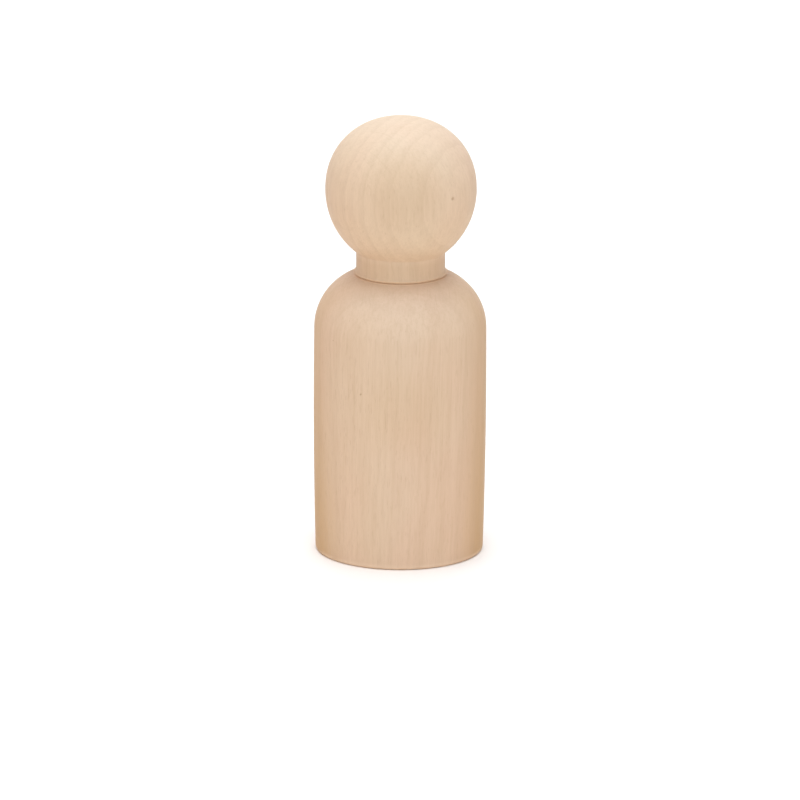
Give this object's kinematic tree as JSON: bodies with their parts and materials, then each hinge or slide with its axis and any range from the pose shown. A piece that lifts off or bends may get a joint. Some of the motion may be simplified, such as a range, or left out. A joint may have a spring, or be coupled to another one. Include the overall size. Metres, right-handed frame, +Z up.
{
  "type": "wooden doll",
  "caption": "Plain turned wooden peg doll: a ball head on a short neck, plugged and glued into a round-shouldered body with a flat base.",
  "frame": {"origin": "centre of the flat base", "axes": "+Z up along the turning axis, from the base to the crown; the doll has no front, and -Y faces the picture's camera"},
  "size_m": [0.0252, 0.0252, 0.065],
  "materials": {
    "body_wood": "bare, sanded smooth",
    "head_wood": "bare, sanded smooth"
  },
  "bodies": {
    "root": {"body": "body_wood", "head_with_neck": "head_wood"}
  },
  "joints": []
}
